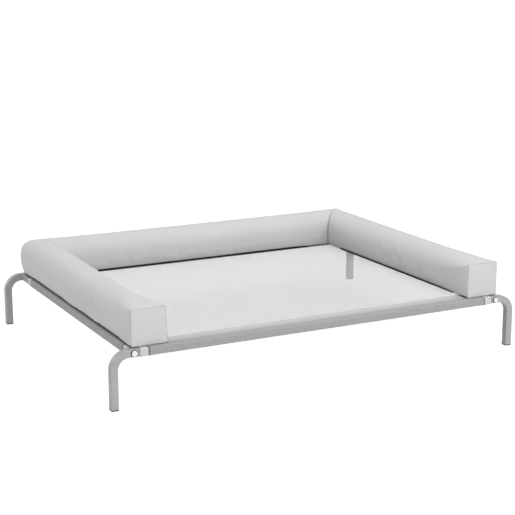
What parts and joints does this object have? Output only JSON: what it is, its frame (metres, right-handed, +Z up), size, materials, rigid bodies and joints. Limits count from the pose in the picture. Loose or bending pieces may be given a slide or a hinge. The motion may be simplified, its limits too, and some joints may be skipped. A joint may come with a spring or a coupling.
{
  "type": "raised pet bed",
  "caption": "Raised rectangular pet bed: a low square-tube frame on bent legs, a stretched mesh sheet in fabric sleeves, and a square padded bolster along the back and both sides.",
  "frame": {"origin": "on the floor under the middle of the frame, midway between the four legs", "axes": "+X along the bed's length to the right as seen from the open front, +Y to the back where the bolster closes the bed, +Z up"},
  "size_m": [1.25, 0.913, 0.2578],
  "materials": {
    "frame_steel": "satin",
    "foot_plastic": "matte",
    "collar_plastic": "satin",
    "washer_plastic": "matte",
    "bolt_steel": "satin",
    "joiner_steel": "satin",
    "mesh_fabric": "matte",
    "sleeve_fabric": "matte",
    "bolster_fabric": "matte",
    "foam": "matte",
    "hook_and_loop": "matte"
  },
  "bodies": {
    "frame": {"bolt_back_left": "bolt_steel", "bolt_back_right": "bolt_steel", "bolt_front_left": "bolt_steel", "bolt_front_right": "bolt_steel", "collar_long_back_left": "collar_plastic", "collar_long_back_right": "collar_plastic", "collar_long_front_left": "collar_plastic", "collar_long_front_right": "collar_plastic", "collar_side_back_left": "collar_plastic", "collar_side_back_right": "collar_plastic", "collar_side_front_left": "collar_plastic", "collar_side_front_right": "collar_plastic", "foot_plug_back_left": "foot_plastic", "foot_plug_back_right": "foot_plastic", "foot_plug_front_left": "foot_plastic", "foot_plug_front_right": "foot_plastic", "joiner_back_left": "joiner_steel", "joiner_back_right": "joiner_steel", "joiner_front_left": "joiner_steel", "joiner_front_right": "joiner_steel", "leg_back_left": "frame_steel", "leg_back_right": "frame_steel", "leg_front_left": "frame_steel", "leg_front_right": "frame_steel", "loop_strip_back": "hook_and_loop", "loop_strip_left": "hook_and_loop", "loop_strip_right": "hook_and_loop", "mesh_sheet": "mesh_fabric", "rail_back": "frame_steel", "rail_front": "frame_steel", "rail_left": "frame_steel", "rail_right": "frame_steel", "sleeve_back": "sleeve_fabric", "sleeve_front": "sleeve_fabric", "sleeve_left": "sleeve_fabric", "sleeve_right": "sleeve_fabric", "threaded_plug_back_left": "joiner_steel", "threaded_plug_back_right": "joiner_steel", "threaded_plug_front_left": "joiner_steel", "threaded_plug_front_right": "joiner_steel", "washer_back_left": "washer_plastic", "washer_back_right": "washer_plastic", "washer_front_left": "washer_plastic", "washer_front_right": "washer_plastic"},
    "bolster": {"bolster_cover_back": "bolster_fabric", "bolster_cover_left": "bolster_fabric", "bolster_cover_right": "bolster_fabric", "bolster_end_left": "bolster_fabric", "bolster_end_right": "bolster_fabric", "bolster_foam_back": "foam", "bolster_foam_left": "foam", "bolster_foam_right": "foam", "hook_strip_back": "hook_and_loop", "hook_strip_left": "hook_and_loop", "hook_strip_right": "hook_and_loop"}
  },
  "joints": [
    {"name": "bolster_lift", "type": "slide", "parent": "frame", "child": "bolster", "axis": [0, 0, 1], "range_m": [0, 0.15]}
  ]
}
